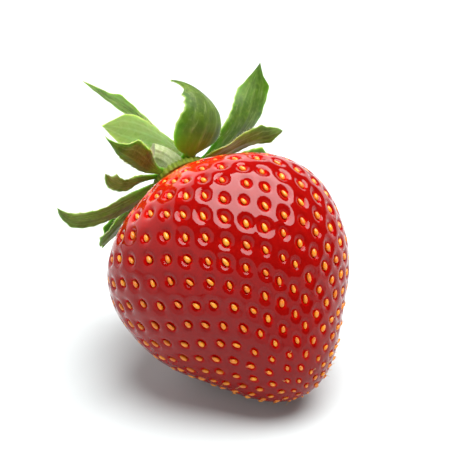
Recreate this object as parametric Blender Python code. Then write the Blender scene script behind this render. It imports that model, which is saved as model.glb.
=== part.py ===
"""A ripe strawberry, picked with its green calyx and a short stub of stem.

The berry lies on a table on a small pressed spot, tip forward and low, calyx
back and raised.  Lengths are worked out in millimetres and written to the
meshes in metres.  +Z is up, and the origin is the middle of the pressed spot.
"""
import math
from collections import namedtuple

import bmesh
import bpy
import numpy as np
from mathutils import Vector
from mathutils.geometry import delaunay_2d_cdt

# --- driving dimensions, in millimetres and degrees -------------------------
METRES = 0.001

AXIS_RISE = 33.0        # slope of the berry's axis, calyx end up
AXIS_TURN = 57.0        # turn of that axis about the vertical, from -X towards +Y

# Radius from the berry's centre at equal angles, calyx end to tip.
PROFILE = (18.5, 18.2, 18.3, 19.8, 20.2, 20.1, 20.4, 23.1, 26.2)
# Gentle unevenness of the cross-section: lobes, share of the radius, phase.
LOBES = ((1, 0.017, -22.0), (2, 0.006, 14.0), (3, 0.025, -2.0))
SPOT_DEPTH = 0.5        # how much of the underside is pressed flat
SPOT_CLEAR = 7.5        # no pits within this distance of the spot's middle
SPOT_FADE = 3.0         # and they deepen over this distance beyond it

# Seeds on the skin: the area that each has to itself, at angles from the calyx.
CELL_ANGLES = (0.0, 40.0, 75.0, 110.0, 140.0, 160.0, 172.0, 180.0)
CELL_AREAS = (17.0, 15.6, 13.2, 11.2, 9.2, 7.0, 4.4, 3.0)
FIRST_SEED = 17.0       # angle from the calyx where the seeds begin
GOLDEN_ANGLE = math.pi * (3.0 - math.sqrt(5.0))
SEED_JITTER = 0.08      # random shift, as a share of the spacing
SEED_SPREAD = 0.15      # random difference in size
SEED_RANDOM = 12        # the draw's own number

PIT_HALF = (1.08, 0.88)     # half length and half width of a full-size pit
SEED_HALF = (0.76, 0.45)    # half length and half width of a full-size seed
# Depth of a full-size pit, at angles from the calyx.
PIT_ANGLES = (20.0, 50.0, 120.0, 175.0)
PIT_DEPTHS = (0.4, 0.75, 0.75, 0.25)
SEED_HEIGHT = 0.62          # rise of a seed's ridge from the floor of its pit
FULL_SPACING = 2.9          # distance to the nearest seed at which a seed has its full size
RIM_SIDES = 6
SEED_SIDES = 4

# Calyx: a low disc on the shoulder that carries the sepals and the stem.
GAP = 0.3               # air between neighbouring pieces
DISC_RADIUS = 5.2
DISC_THICKNESS = 1.7
DISC_SIDES = 24
# The disc's outline from its underside's middle to its top's: shares of radius and height.
DISC_PROFILE = ((0.0, 0.0), (0.55, 0.0), (0.88, 0.0), (1.0, 0.1),
                (1.0, 0.7), (0.92, 1.0), (0.6, 1.0), (0.0, 1.0))
BLADE = 0.7             # thickness of a sepal
SEPAL_START = DISC_RADIUS + GAP
STEM_RADIUS = 1.85
STEM_LENGTH = 5.2
STEM_LEAN = 66.0        # how far the stem bends over by its cut end
STEM_SECTIONS = 7
STEM_SIDES = 14
STEM_FOOT_SWELL = 0.28  # the stem is this much thicker where it leaves the disc
STEM_END_SWELL = 0.08   # and this much at its cut end

ROWS = 12               # steps along a sepal; the teeth stand on these rows
STRIPS = 4              # strips across a sepal
KNOTS = (0.0, 1 / 3, 2 / 3, 1.0)    # shares of the length at which a sepal's angles are given
TIP_HALF = 0.2          # half width of a sepal's tip
TOOTH_SHOULDER = 0.45   # share of a tooth's size on the row before it

# Each sepal: azimuth of its foot round the calyx, length, half widths on its two sides,
# width and height of its foot, then at the knots its slope, its turn to the side and its
# twist, then cupping, fullness of outline, share of the length at which it is widest, and
# teeth as (side, row, size).
Sepal = namedtuple("Sepal", "name azimuth length halves foot rise slopes turns twists cup full widest teeth")
SEPALS = (
    Sepal("sepal_left_long", -7.0, 24.1, (1.8, 1.7), 1.8, 0.3, (-20, -13, -6, 8), (0, 6, 29, 69),
          (0, 20, 21, 16), 0.1, 0.6, 0.41, ((-1, 9, 0.3),)),
    Sepal("sepal_left_tall", 226.0, 28.3, (0.9, 1.3), 1.4, 1.3, (81, 109, 136, 150), (0, -16, -26, -25),
          (0, 3, 8, 11), 0.15, 0.85, 0.7, ((-1, 9, 0.9),)),
    Sepal("sepal_left_broad", 198.4, 20.9, (3.8, 3.8), 2.4, 1.4, (98, 121, 144, 174), (0, -19, -18, -13),
          (0, -9, 6, 22), 0.2, 0.92, 0.7, ((-1, 10, 0.4),)),
    Sepal("sepal_top_broad", 99.4, 18.0, (4.4, 4.4), 3.0, 1.3, (2, 42, 101, 147), (0, 35, 53, 59),
          (0, -25, -35, -46), 0.3, 0.9, 0.3, ((-1, 7, 0.8), (-1, 9, 1.3))),
    Sepal("sepal_right_tall", 156.0, 21.1, (3.5, 3.5), 3.2, 1.4, (13, 23, 50, 39), (0, -3, -17, -35),
          (0, -10, -40, -70), 0.25, 0.9, 0.52, ((1, 10, 0.9), (-1, 9, 0.3))),
    Sepal("sepal_back_right", 182.0, 16.0, (3.0, 3.0), 2.0, 0.35, (4, 0, -6, -12), (0, 0, 0, 0),
          (0, 0, 0, 0), 0.25, 0.8, 0.5, ((-1, 8, 0.9), (1, 9, 0.9))),
    Sepal("sepal_back_low", 262.0, 16.0, (3.1, 3.1), 2.4, 1.3, (4, -5, -13, -22), (0, 0, 0, 0),
          (0, 0, 0, 0), 0.25, 0.8, 0.48, ((1, 8, 0.9), (-1, 9, 0.9))),
    Sepal("sepal_under", 302.0, 15.0, (3.0, 3.0), 2.4, 1.3, (10, 3, -5, -12), (0, 0, 0, 0),
          (0, 0, 0, 0), 0.25, 0.8, 0.48, ((-1, 8, 0.9), (1, 9, 0.8))),
    Sepal("bract_left", 9.0, 13.4, (1.4, 1.1), 1.1, 1.4, (-2, -16, -2, 11), (0, 3, 26, 54),
          (0, 18, 24, 25), 0.15, 0.57, 0.62, ((1, 9, 0.6),)),
    Sepal("bract_front", 27.0, 17.8, (1.4, 3.0), 1.5, 1.3, (-1, -3, 0, 28), (0, 22, 14, 24),
          (0, 2, -4, -28), 0.2, 1.3, 0.48, ((1, 8, 0.9),)),
    Sepal("bract_right", 142.0, 14.1, (2.5, 1.9), 3.6, 0.3, (-2, -3, -11, -5), (0, 4, 15, 20),
          (0, 5, -13, -52), 0.05, 0.45, 0.63, ((-1, 9, 0.6), (1, 10, 0.4))),
    Sepal("bract_low", 282.0, 12.0, (1.8, 1.8), 1.8, 0.3, (-8, -15, -21, -28), (0, 0, 0, 0),
          (0, 0, 0, 0), 0.2, 0.8, 0.44, ((-1, 9, 0.6),)),
    Sepal("bract_hanging", -37.5, 15.0, (1.6, 1.6), 1.5, 0.3, (0, -1, -1, 12), (0, -15, -31, -42),
          (0, -7, -7, 16), 0.15, 0.4, 0.56, ((1, 10, 0.4),)),
)


# --- the berry's own axes ----------------------------------------------------
def berry_axes():
    """Rows: level side, upper side, and the axis itself, which points to the calyx."""
    rise, turn = math.radians(AXIS_RISE), math.radians(AXIS_TURN)
    axis = np.array((-math.cos(rise) * math.cos(turn), math.cos(rise) * math.sin(turn), math.sin(rise)))
    side = np.cross((0.0, 0.0, 1.0), axis)
    side /= np.linalg.norm(side)
    return np.stack((side, np.cross(axis, side), axis))


AXES = berry_axes()


def profile(angle):
    """Radius at an angle from the calyx: the cosine series through PROFILE's values."""
    last = len(PROFILE) - 1
    steps = np.arange(last + 1)
    weight = np.ones(last + 1)
    weight[[0, last]] = 0.5
    waves = np.cos(np.outer(steps, steps) * math.pi / last)
    series = 2.0 / last * waves @ (weight * np.array(PROFILE)) * weight
    return np.cos(np.multiply.outer(angle, steps)) @ series


def skin_radius(angle, around):
    """The profile's radius, swollen by the lobes, which die out at both ends."""
    lobes = sum(size * np.cos(count * around + math.radians(phase)) for count, size, phase in LOBES)
    return profile(angle) * (1.0 + lobes * np.sin(angle) ** 2)


def directions(angle, around):
    """Unit vectors from the berry's centre, in the part's frame."""
    local = np.stack((np.sin(angle) * np.cos(around), np.sin(angle) * np.sin(around), np.cos(angle)), -1)
    return local @ AXES


def lowest_point():
    """The lowest point of the smooth skin, measured from the berry's centre."""
    angle, around = np.meshgrid(np.linspace(0.0, math.pi, 721), np.linspace(0.0, math.tau, 1441))
    points = directions(angle, around) * skin_radius(angle, around)[..., None]
    points = points.reshape(-1, 3)
    return points[points[:, 2].argmin()]


LOWEST = lowest_point()
CENTRE = np.array((-LOWEST[0], -LOWEST[1], -LOWEST[2] - SPOT_DEPTH))
CALYX = CENTRE + AXES[2] * profile(0.0)


# --- mesh helpers --------------------------------------------------------------
def add_object(name, mesh_builder, material):
    """Puts a bmesh, already in millimetres, into the scene as one named object."""
    bmesh.ops.scale(mesh_builder, vec=(METRES,) * 3, verts=mesh_builder.verts)
    bmesh.ops.recalc_face_normals(mesh_builder, faces=mesh_builder.faces)
    mesh = bpy.data.meshes.new(name)
    mesh_builder.to_mesh(mesh)
    mesh_builder.free()
    mesh.materials.append(material)
    item = bpy.data.objects.new(name, mesh)
    bpy.context.scene.collection.objects.link(item)
    return item


def make_material(name, colour, roughness):
    """A plain Principled material."""
    material = bpy.data.materials.new(name)
    material.use_nodes = True
    shader = material.node_tree.nodes["Principled BSDF"]
    shader.inputs["Base Color"].default_value = (*colour, 1.0)
    shader.inputs["Roughness"].default_value = roughness
    shader.inputs["Metallic"].default_value = 0.0
    return material


# --- the berry -----------------------------------------------------------------
def seed_places():
    """Angles of the seeds, and the share of full size that each has.

    A seed's number over the whole skin grows by the ring's area over the area
    that one seed has there, and each seed is turned from the last by the golden
    angle, which gives the crossing spiral rows.
    """
    angle = np.linspace(math.radians(FIRST_SEED), math.pi, 2000)
    radius = profile(angle)
    slope = np.gradient(radius, angle)
    ring = math.tau * radius * np.sin(angle) * np.hypot(radius, slope)
    cell = np.interp(np.degrees(angle), CELL_ANGLES, CELL_AREAS)
    share = ring / cell
    count = np.concatenate(((0.0,), np.cumsum((share[1:] + share[:-1]) / 2.0 * np.diff(angle))))
    number = np.arange(int(count[-1])) + 0.5
    seed_angle = np.interp(number, count, angle)
    seed_around = number * GOLDEN_ANGLE
    spacing = np.sqrt(np.interp(np.degrees(seed_angle), CELL_ANGLES, CELL_AREAS))
    draw = np.random.default_rng(SEED_RANDOM)
    shift = draw.uniform(-1.0, 1.0, (2, len(number))) * SEED_JITTER * spacing
    seed_radius = profile(seed_angle)
    seed_slope = np.interp(seed_angle, angle, slope)
    seed_angle = seed_angle + shift[0] / np.hypot(seed_radius, seed_slope)
    seed_around = seed_around + shift[1] / (seed_radius * np.maximum(np.sin(seed_angle), 0.05))
    place = directions(seed_angle, seed_around) * profile(seed_angle)[:, None]
    apart = np.linalg.norm(place[:, None] - place[None], axis=-1) + np.eye(len(number)) * FULL_SPACING * 2
    size = np.minimum(apart.min(1) / FULL_SPACING, 1.0) * (1.0 - draw.uniform(0.0, SEED_SPREAD, len(number)))
    return seed_angle, seed_around, size


def ring_points(seed_angle, seed_around, size, half, sides, turn):
    """Angles of a ring of points round each seed, an ellipse along the meridian."""
    step = np.arange(sides) * math.tau / sides + turn
    radius = profile(seed_angle)
    slope = (profile(seed_angle + 0.01) - profile(seed_angle - 0.01)) / 0.02
    along = size[:, None] * half[0] * np.cos(step)
    across = size[:, None] * half[1] * np.sin(step)
    # Step in the tangent plane, then read the angles back, which also holds at the poles.
    centre = np.stack((np.sin(seed_angle) * np.cos(seed_around), np.sin(seed_angle) * np.sin(seed_around),
                       np.cos(seed_angle)), -1)
    down = np.stack((np.cos(seed_angle) * np.cos(seed_around), np.cos(seed_angle) * np.sin(seed_around),
                     -np.sin(seed_angle)), -1)
    round_ = np.cross(centre, down)
    point = (centre[:, None] + down[:, None] * (along / np.hypot(radius, slope)[:, None])[..., None]
             + round_[:, None] * (across / radius[:, None])[..., None])
    point /= np.linalg.norm(point, axis=-1, keepdims=True)
    return np.arccos(point[..., 2].clip(-1.0, 1.0)), np.arctan2(point[..., 1], point[..., 0])


def net_of_triangles(angle, around, rings):
    """Triangles over the skin that join each point to its nearest neighbours.

    The points are laid out flat by the stereographic map from the calyx, which
    keeps circles round, so a flat Delaunay net of them is the net of the skin.
    The rings' own sides are kept as edges.
    """
    reach = np.tan((math.pi - angle) / 2.0)
    flat = [Vector(place) for place in np.stack((reach * np.cos(around), reach * np.sin(around)), -1)]
    sides = [(int(ring[step - 1]), int(ring[step])) for ring in rings for step in range(len(ring))]
    places, _, faces, *_ = delaunay_2d_cdt(flat, sides, [], 0, 1e-7)
    assert len(places) == len(flat), "two rings cross"
    return faces


def build_berry(material):
    """The flesh: the rims of the pits and the seeds are points of one net over the skin."""
    seed_angle, seed_around, size = seed_places()
    count = len(seed_angle)
    depth = np.interp(np.degrees(seed_angle), PIT_ANGLES, PIT_DEPTHS) * size
    rim = ring_points(seed_angle, seed_around, size, PIT_HALF, RIM_SIDES, math.pi / RIM_SIDES)
    base = ring_points(seed_angle, seed_around, size, SEED_HALF, SEED_SIDES, 0.0)
    angle = np.concatenate((rim[0].ravel(), base[0].ravel(), seed_angle))
    around = np.concatenate((rim[1].ravel(), base[1].ravel(), seed_around))
    relief = np.concatenate((np.zeros(count * RIM_SIDES), np.repeat(-depth, SEED_SIDES),
                             SEED_HEIGHT * size - depth))
    ball = directions(angle, around)
    radius = skin_radius(angle, around)
    smooth = CENTRE + ball * radius[:, None]
    away = np.hypot(smooth[:, 0], smooth[:, 1])
    fade = np.where(smooth[:, 2] < CENTRE[2], ((away - SPOT_CLEAR) / SPOT_FADE).clip(0.0, 1.0), 1.0)
    points = CENTRE + ball * (radius + relief * fade)[:, None]

    rings = list(np.arange(count * RIM_SIDES).reshape(count, RIM_SIDES))
    rings += list(np.arange(count * SEED_SIDES).reshape(count, SEED_SIDES) + count * RIM_SIDES)
    builder = bmesh.new()
    verts = [builder.verts.new(place) for place in points]
    for face in net_of_triangles(angle, around, rings):
        builder.faces.new([verts[index] for index in face])
    pole = builder.verts.new(CALYX)
    for edge in [edge for edge in builder.edges if edge.is_boundary]:
        builder.faces.new((*edge.verts, pole))
    cut = bmesh.ops.bisect_plane(builder, geom=builder.verts[:] + builder.edges[:] + builder.faces[:],
                                 dist=1e-4, plane_co=(0.0, 0.0, 0.0), plane_no=(0.0, 0.0, -1.0),
                                 clear_outer=True)
    spot = [item for item in cut["geom_cut"] if isinstance(item, bmesh.types.BMEdge)]
    bmesh.ops.holes_fill(builder, edges=spot, sides=0)
    print("berry:", count, "seeds,", len(builder.faces), "faces")
    return add_object("berry", builder, material)


# --- the calyx -----------------------------------------------------------------
def calyx_point(out, around, height):
    """A point beside the calyx: distance from its axis, azimuth, height above the skin's pole."""
    flat = np.multiply.outer(out * np.cos(around), AXES[0]) + np.multiply.outer(out * np.sin(around), AXES[1])
    return CALYX + flat + np.multiply.outer(height, AXES[2])


def skin_height(out, around):
    """Height of the skin above its own pole, at a distance from the berry's axis."""
    angle = np.linspace(0.0, math.pi / 2.0, 400)
    radius = skin_radius(angle, around)
    return float(np.interp(out, radius * np.sin(angle), radius * np.cos(angle))) - profile(0.0)


def build_disc(material):
    """The disc: a turned lens whose underside and top both follow the shoulder."""
    builder = bmesh.new()
    rings = []
    for out_share, height_share in DISC_PROFILE:
        out = out_share * DISC_RADIUS
        ring = []
        for step in range(DISC_SIDES if out else 1):
            around = step * math.tau / DISC_SIDES
            height = GAP + height_share * (DISC_THICKNESS - GAP) + skin_height(out, around)
            ring.append(builder.verts.new(calyx_point(out, around, height)))
        rings.append(ring)
    for lower, upper in zip(rings[:-1], rings[1:]):
        for step in range(DISC_SIDES):
            following = (step + 1) % DISC_SIDES
            corners = (lower[step % len(lower)], lower[following % len(lower)],
                       upper[following % len(upper)], upper[step % len(upper)])
            builder.faces.new(dict.fromkeys(corners))
    return add_object("calyx_disc", builder, material)


def half_widths(sepal):
    """Half widths of a sepal's two edges at each row: a leaf curve plus its teeth.

    The leaf curve is a sine of the distance along, bent so that it peaks where
    the sepal is widest, over a foot that tapers away to the tip.  A tooth rises
    over two rows and stops at its own row.
    """
    place = np.arange(ROWS + 1) / ROWS
    shape = np.sin(math.pi * place ** (math.log(0.5) / math.log(sepal.widest))) ** sepal.full
    spread = np.array(sepal.halves)[:, None] - 0.25 * sepal.foot
    sides = 0.5 * sepal.foot * (1.0 - place) + spread * shape
    sides[:, -1] = TIP_HALF
    for side, row, size in sepal.teeth:
        edge = sides[0 if side < 0 else 1]
        edge[row - 1] += TOOTH_SHOULDER * size
        edge[row] += size
    return sides


def blade_frame(sepal):
    """The midrib's points, and the side and face directions along it.

    The midrib starts at the disc and is the running sum of its direction, whose
    slope, turn and twist change evenly from knot to knot.
    """
    place = np.arange(ROWS + 1) / ROWS
    middle = (np.arange(ROWS) + 0.5) / ROWS
    around = math.radians(sepal.azimuth)
    outward = math.cos(around) * AXES[0] + math.sin(around) * AXES[1]
    sideways = np.cross(AXES[2], outward)

    def direction(share):
        slope = np.radians(np.interp(share, KNOTS, sepal.slopes))[:, None]
        heading = np.radians(np.interp(share, KNOTS, sepal.turns))[:, None]
        level = np.cos(heading) * outward + np.sin(heading) * sideways
        return np.cos(slope) * level + np.sin(slope) * AXES[2], np.cross(AXES[2], level)

    steps, _ = direction(middle)
    start = calyx_point(SEPAL_START, around, skin_height(SEPAL_START, around) + GAP + sepal.rise + BLADE / 2)
    midrib = start + np.concatenate((np.zeros((1, 3)), np.cumsum(steps, 0))) * sepal.length / ROWS
    along, side = direction(place)
    face = np.cross(along, side)
    turn = np.radians(np.interp(place, KNOTS, sepal.twists))[:, None]
    side, face = np.cos(turn) * side + np.sin(turn) * face, np.cos(turn) * face - np.sin(turn) * side
    return midrib, side, face


def build_sepal(sepal, material):
    """A toothed blade: two alike nets of triangles, joined round the edge."""
    midrib, side, face = blade_frame(sepal)
    edges = half_widths(sepal)
    across = np.linspace(-1.0, 1.0, STRIPS + 1)
    reach = np.where(across < 0.0, edges[0][:, None], edges[1][:, None]) * across
    middle = (midrib[:, None] + side[:, None] * reach[..., None]
              + face[:, None] * (sepal.cup * np.abs(reach) * np.abs(across))[..., None])
    builder = bmesh.new()
    layers = []
    for shift in (BLADE / 2, -BLADE / 2):
        layers.append([[builder.verts.new(point) for point in row] for row in middle + face[:, None] * shift])
    upper, lower = layers
    for row in range(ROWS):
        for strip in range(STRIPS):
            for net in layers:
                a, b = net[row][strip], net[row][strip + 1]
                c, d = net[row + 1][strip + 1], net[row + 1][strip]
                first, second = ((a, b, c), (a, c, d)) if strip < STRIPS // 2 else ((a, b, d), (b, c, d))
                builder.faces.new(first)
                builder.faces.new(second)
    outline = [(row, 0) for row in range(ROWS + 1)]
    outline += [(ROWS, strip) for strip in range(1, STRIPS + 1)]
    outline += [(row, STRIPS) for row in range(ROWS - 1, -1, -1)]
    outline += [(0, strip) for strip in range(STRIPS - 1, 0, -1)]
    for (row, strip), (next_row, next_strip) in zip(outline, outline[1:] + outline[:1]):
        builder.faces.new((upper[row][strip], upper[next_row][next_strip], lower[next_row][next_strip],
                           lower[row][strip]))
    return add_object(sepal.name, builder, material)


def build_stem(material):
    """The stem's stub: round sections along an arc that leans over to the level side."""
    share = np.linspace(0.0, 1.0, STEM_SECTIONS + 1)
    lean = np.radians(STEM_LEAN * share)
    middle = (lean[1:] + lean[:-1]) / 2.0
    steps = np.stack((np.sin(middle), np.cos(middle)), -1) * STEM_LENGTH / STEM_SECTIONS
    arc = np.concatenate((np.zeros((1, 2)), np.cumsum(steps, 0)))
    foot = CALYX + AXES[2] * (DISC_THICKNESS + GAP)
    swell = 1.0 + STEM_FOOT_SWELL * np.exp(-5.0 * share) + STEM_END_SWELL * share ** 4
    builder = bmesh.new()
    rings = []
    for row in range(STEM_SECTIONS + 1):
        centre = foot + AXES[0] * arc[row, 0] + AXES[2] * arc[row, 1]
        out = AXES[0] * math.cos(lean[row]) - AXES[2] * math.sin(lean[row])
        ring = []
        for turn in np.arange(STEM_SIDES) * math.tau / STEM_SIDES:
            spoke = out * math.cos(turn) + AXES[1] * math.sin(turn)
            ring.append(builder.verts.new(centre + STEM_RADIUS * swell[row] * spoke))
        rings.append(ring)
    for lower, upper in zip(rings[:-1], rings[1:]):
        for side in range(STEM_SIDES):
            following = (side + 1) % STEM_SIDES
            builder.faces.new((lower[side], lower[following], upper[following], upper[side]))
    builder.faces.new(rings[0])
    builder.faces.new(rings[-1])
    return add_object("stem", builder, material)


def main():
    """Clears the scene and builds every piece of the strawberry."""
    for item in list(bpy.data.objects):
        bpy.data.objects.remove(item, do_unlink=True)
    flesh = make_material("berry_skin", (0.62, 0.015, 0.012), 0.22)
    leaf = make_material("sepal_green", (0.12, 0.27, 0.035), 0.55)
    collar = make_material("disc_green", (0.32, 0.42, 0.10), 0.55)
    cut = make_material("stem_pale", (0.55, 0.62, 0.38), 0.6)
    build_berry(flesh)
    build_disc(collar)
    for sepal in SEPALS:
        build_sepal(sepal, leaf)
    build_stem(cut)


main()
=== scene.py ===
# %% [markdown]
# # A strawberry with its green calyx
# A strawberry is the swollen end of a flower stalk. The flesh carries a few
# hundred seeds, each in a small pit, and the calyx is the ring of sepals that
# once closed round the bud. The imported model already says where each piece is
# and how big it is. This lesson dresses it: every solid gets a finer surface
# that keeps its form, and a finish worked out with nodes. The first step is to
# load the imported model and to list its nodes.

# %% Load the imported model
import math
from collections import namedtuple

import bpy
import numpy as np
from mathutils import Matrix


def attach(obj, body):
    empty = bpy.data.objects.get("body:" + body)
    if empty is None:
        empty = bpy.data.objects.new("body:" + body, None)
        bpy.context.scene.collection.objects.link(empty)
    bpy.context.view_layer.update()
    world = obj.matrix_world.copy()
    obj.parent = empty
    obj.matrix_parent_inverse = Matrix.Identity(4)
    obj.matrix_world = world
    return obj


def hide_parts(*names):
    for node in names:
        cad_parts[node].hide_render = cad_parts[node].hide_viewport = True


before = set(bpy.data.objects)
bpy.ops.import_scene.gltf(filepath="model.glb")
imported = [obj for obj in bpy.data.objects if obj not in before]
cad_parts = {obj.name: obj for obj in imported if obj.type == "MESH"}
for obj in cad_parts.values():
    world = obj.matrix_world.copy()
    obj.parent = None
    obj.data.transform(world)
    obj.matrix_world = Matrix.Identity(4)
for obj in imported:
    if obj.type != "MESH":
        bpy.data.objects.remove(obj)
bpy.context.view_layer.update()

print("nodes:", ", ".join(sorted(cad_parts)))

# %% [markdown]
# ## The berry's form
# The flesh is a body about a tilted axis. Its radius depends on the angle from
# the calyx, and a few numbers joined by a cosine series make a curve with no
# kink at either end. Three gentle lobes take away the look of a turned object.
# The values are the solid's own, so the fine skin has the same form.

# %% Sizes of the berry
METRES = 0.001  # lengths below are millimetres, angles are degrees

AXIS_RISE = 33.0  # slope of the berry's axis, calyx end up
AXIS_TURN = 57.0  # turn of that axis about the vertical, from -X towards +Y
PROFILE = (18.5, 18.2, 18.3, 19.8, 20.2, 20.1, 20.4, 23.1, 26.2)  # radii, calyx end to tip
LOBES = ((1, 0.017, -22.0), (2, 0.006, 14.0), (3, 0.025, -2.0))  # count, share of radius, phase
SPOT_DEPTH = 0.5  # how much of the underside is pressed flat by its own weight
SPOT_CLEAR = 7.5  # no pits within this distance of the spot's middle
SPOT_FADE = 3.0  # and they deepen over this distance beyond it
SEARCH_STEPS = 720  # steps of latitude in the search for the lowest point


def berry_axes():
    """Rows: level side, upper side, and the axis itself, which points to the calyx."""
    rise, turn = math.radians(AXIS_RISE), math.radians(AXIS_TURN)
    axis = np.array((-math.cos(rise) * math.cos(turn), math.cos(rise) * math.sin(turn), math.sin(rise)))
    side = np.cross((0.0, 0.0, 1.0), axis)
    side /= np.linalg.norm(side)
    return np.stack((side, np.cross(axis, side), axis))


AXES = berry_axes()


def profile(angle):
    """Radius at an angle from the calyx: the cosine series through PROFILE's values."""
    last = len(PROFILE) - 1
    steps = np.arange(last + 1)
    weight = np.ones(last + 1)
    weight[[0, last]] = 0.5
    waves = np.cos(np.outer(steps, steps) * math.pi / last)
    series = 2.0 / last * waves @ (weight * np.array(PROFILE)) * weight
    return np.cos(np.multiply.outer(angle, steps)) @ series


def skin_radius(angle, around):
    """The profile's radius, swollen by the lobes, which die out at both ends."""
    lobes = sum(size * np.cos(count * around + math.radians(phase)) for count, size, phase in LOBES)
    return profile(angle) * (1.0 + lobes * np.sin(angle) ** 2)


def local_directions(angle, around):
    """Unit vectors with the calyx at the north pole, by latitude and longitude."""
    return np.stack((np.sin(angle) * np.cos(around), np.sin(angle) * np.sin(around), np.cos(angle)), -1)


def lowest_point():
    """The lowest point of the smooth skin, measured from the berry's centre."""
    angle, around = np.meshgrid(np.linspace(0.0, math.pi, SEARCH_STEPS + 1),
                                np.linspace(0.0, math.tau, 2 * SEARCH_STEPS + 1))
    points = local_directions(angle, around) @ AXES * skin_radius(angle, around)[..., None]
    points = points.reshape(-1, 3)
    return points[points[:, 2].argmin()]


LOWEST = lowest_point()
CENTRE = np.array((-LOWEST[0], -LOWEST[1], -LOWEST[2] - SPOT_DEPTH))
CALYX = CENTRE + AXES[2] * profile(0.0)
print("berry's centre in mm:", CENTRE.round(2), "calyx:", CALYX.round(2))

# %% [markdown]
# ## From arrays to a mesh
# Every piece here is made of closed forms: rings of points between two poles.
# A berry is that, and so is a seed, a stem, or a leaf blade whose rings are
# flat. So one helper numbers the faces of such a form, and one puts points and
# faces into an object. Faces look outwards, so each printed volume is positive.

# %% Helpers for meshes
def ring_faces(rows, columns, clockwise=False):
    """Faces of a closed form whose points are a pole, rows of rings, and a pole.

    They face outwards when the columns run anticlockwise as seen from the first
    pole's side. For columns that run clockwise, every face is turned over.
    """
    row = 1 + np.arange(rows - 1)[:, None] * columns
    step = np.arange(columns)
    following = (step + 1) % columns
    quads = np.stack((row + step, row + columns + step, row + columns + following, row + following), -1)
    last_ring, last = 1 + (rows - 1) * columns, 1 + rows * columns
    first_cap = np.stack((np.zeros(columns, int), 1 + step, 1 + following), -1)
    last_cap = np.stack((last_ring + step, np.full(columns, last), last_ring + following), -1)
    faces = [quads.reshape(-1, 4), first_cap, last_cap]
    return [block[:, ::-1] for block in faces] if clockwise else faces


def closed_points(first, rings, last):
    """One array of points in the order that ring_faces numbers them."""
    return np.concatenate((np.reshape(first, (1, 3)), rings.reshape(-1, 3), np.reshape(last, (1, 3))))


def with_poles(first, rings, last):
    """One value for each of those points, in the same order."""
    return np.concatenate(((first,), np.ravel(rings), (last,)))


def full_turn(count):
    """Equal steps of angle round a full turn, from zero."""
    return np.arange(count) * math.tau / count


def running_sum(steps):
    """Zero, then the sum of the steps up to each of them."""
    return np.concatenate((np.zeros_like(steps[:1]), np.cumsum(steps, 0)))


def enclosed_volume(points, faces):
    """The sum of the tetrahedra from the origin to each triangle.

    It is positive when the faces look outwards.
    """
    total = 0.0
    for block in faces:
        for step in range(1, block.shape[1] - 1):
            corner = points[block[:, 0]], points[block[:, step]], points[block[:, step + 1]]
            total += float((corner[0] * np.cross(corner[1], corner[2])).sum()) / 6.0
    return total


def add_object(name, data):
    """A new object in the scene."""
    made = bpy.data.objects.new(name, data)
    bpy.context.scene.collection.objects.link(made)
    return made


def add_piece(name, points, faces, values, material, replaced):
    """Makes a finished piece from points in millimetres.

    faces is a list of index arrays, one for each number of corners. values holds
    point attributes that the material reads.
    """
    mesh = bpy.data.meshes.new(name)
    mesh.vertices.add(len(points))
    mesh.vertices.foreach_set("co", (points * METRES).astype(np.float32).ravel())
    corners = np.concatenate([block.ravel() for block in faces])
    sizes = np.concatenate([np.full(len(block), block.shape[1]) for block in faces])
    mesh.loops.add(len(corners))
    mesh.loops.foreach_set("vertex_index", corners.astype(np.int32))
    mesh.polygons.add(len(sizes))
    mesh.polygons.foreach_set("loop_start", (np.cumsum(sizes) - sizes).astype(np.int32))
    mesh.update(calc_edges=True)
    mesh.validate()
    mesh.shade_smooth()
    for key, value in values.items():
        stored = mesh.attributes.new(key, "FLOAT", "POINT")
        stored.data.foreach_set("value", value.astype(np.float32).ravel())
    mesh.materials.append(material)
    piece = add_object(name, mesh)
    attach(piece, "root")
    if replaced:
        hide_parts(*replaced)
    triangles = int((sizes - 2).sum())
    print(name, "triangles:", triangles, "volume in mm3:", round(enclosed_volume(points, faces), 1))


def repeat_faces(faces, points_each, count):
    """The faces of one small form, numbered on for count copies of its points."""
    shift = np.arange(count)[:, None, None] * points_each
    return [(block[None] + shift).reshape(-1, block.shape[1]) for block in faces]


def smooth_step(low, high, value):
    """0 below low, 1 above high, and a cubic with level ends in between."""
    share = np.clip((value - low) / (high - low), 0.0, 1.0)
    return share * share * (3.0 - 2.0 * share)


# %% [markdown]
# ## Shader maths as Python
# A finish is a sum of patterns. Written node by node it is long and hard to
# read, so one small class stands for the output of a node and lets + - * **
# add the Math nodes. Colours go through Mix nodes instead, because a Math node
# would turn them grey. One method makes any other node.

# %% Helpers for finishes
def maths(operation, turned=False):
    """A method that adds one Math node, with its two inputs turned round if asked."""
    def method(self, other=0.0):
        first, second = (other, self) if turned else (self, other)
        return self.finish.node("Math", {"operation": operation}, {0: first, 1: second})
    return method


class Value:
    """The output of a node, which can be used in sums."""

    def __init__(self, finish, socket):
        self.finish = finish
        self.socket = socket

    __add__ = __radd__ = maths("ADD")
    __sub__ = maths("SUBTRACT")
    __rsub__ = maths("SUBTRACT", turned=True)
    __mul__ = maths("MULTIPLY")
    __pow__ = maths("POWER")
    cosine = maths("COSINE")
    size = maths("ABSOLUTE")

    def step(self, low, high):
        """0 below low, 1 above high, with a smooth rise between them."""
        return self.finish.node("MapRange", {"interpolation_type": "SMOOTHSTEP"},
                                {"Value": self, "From Min": low, "From Max": high})


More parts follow.
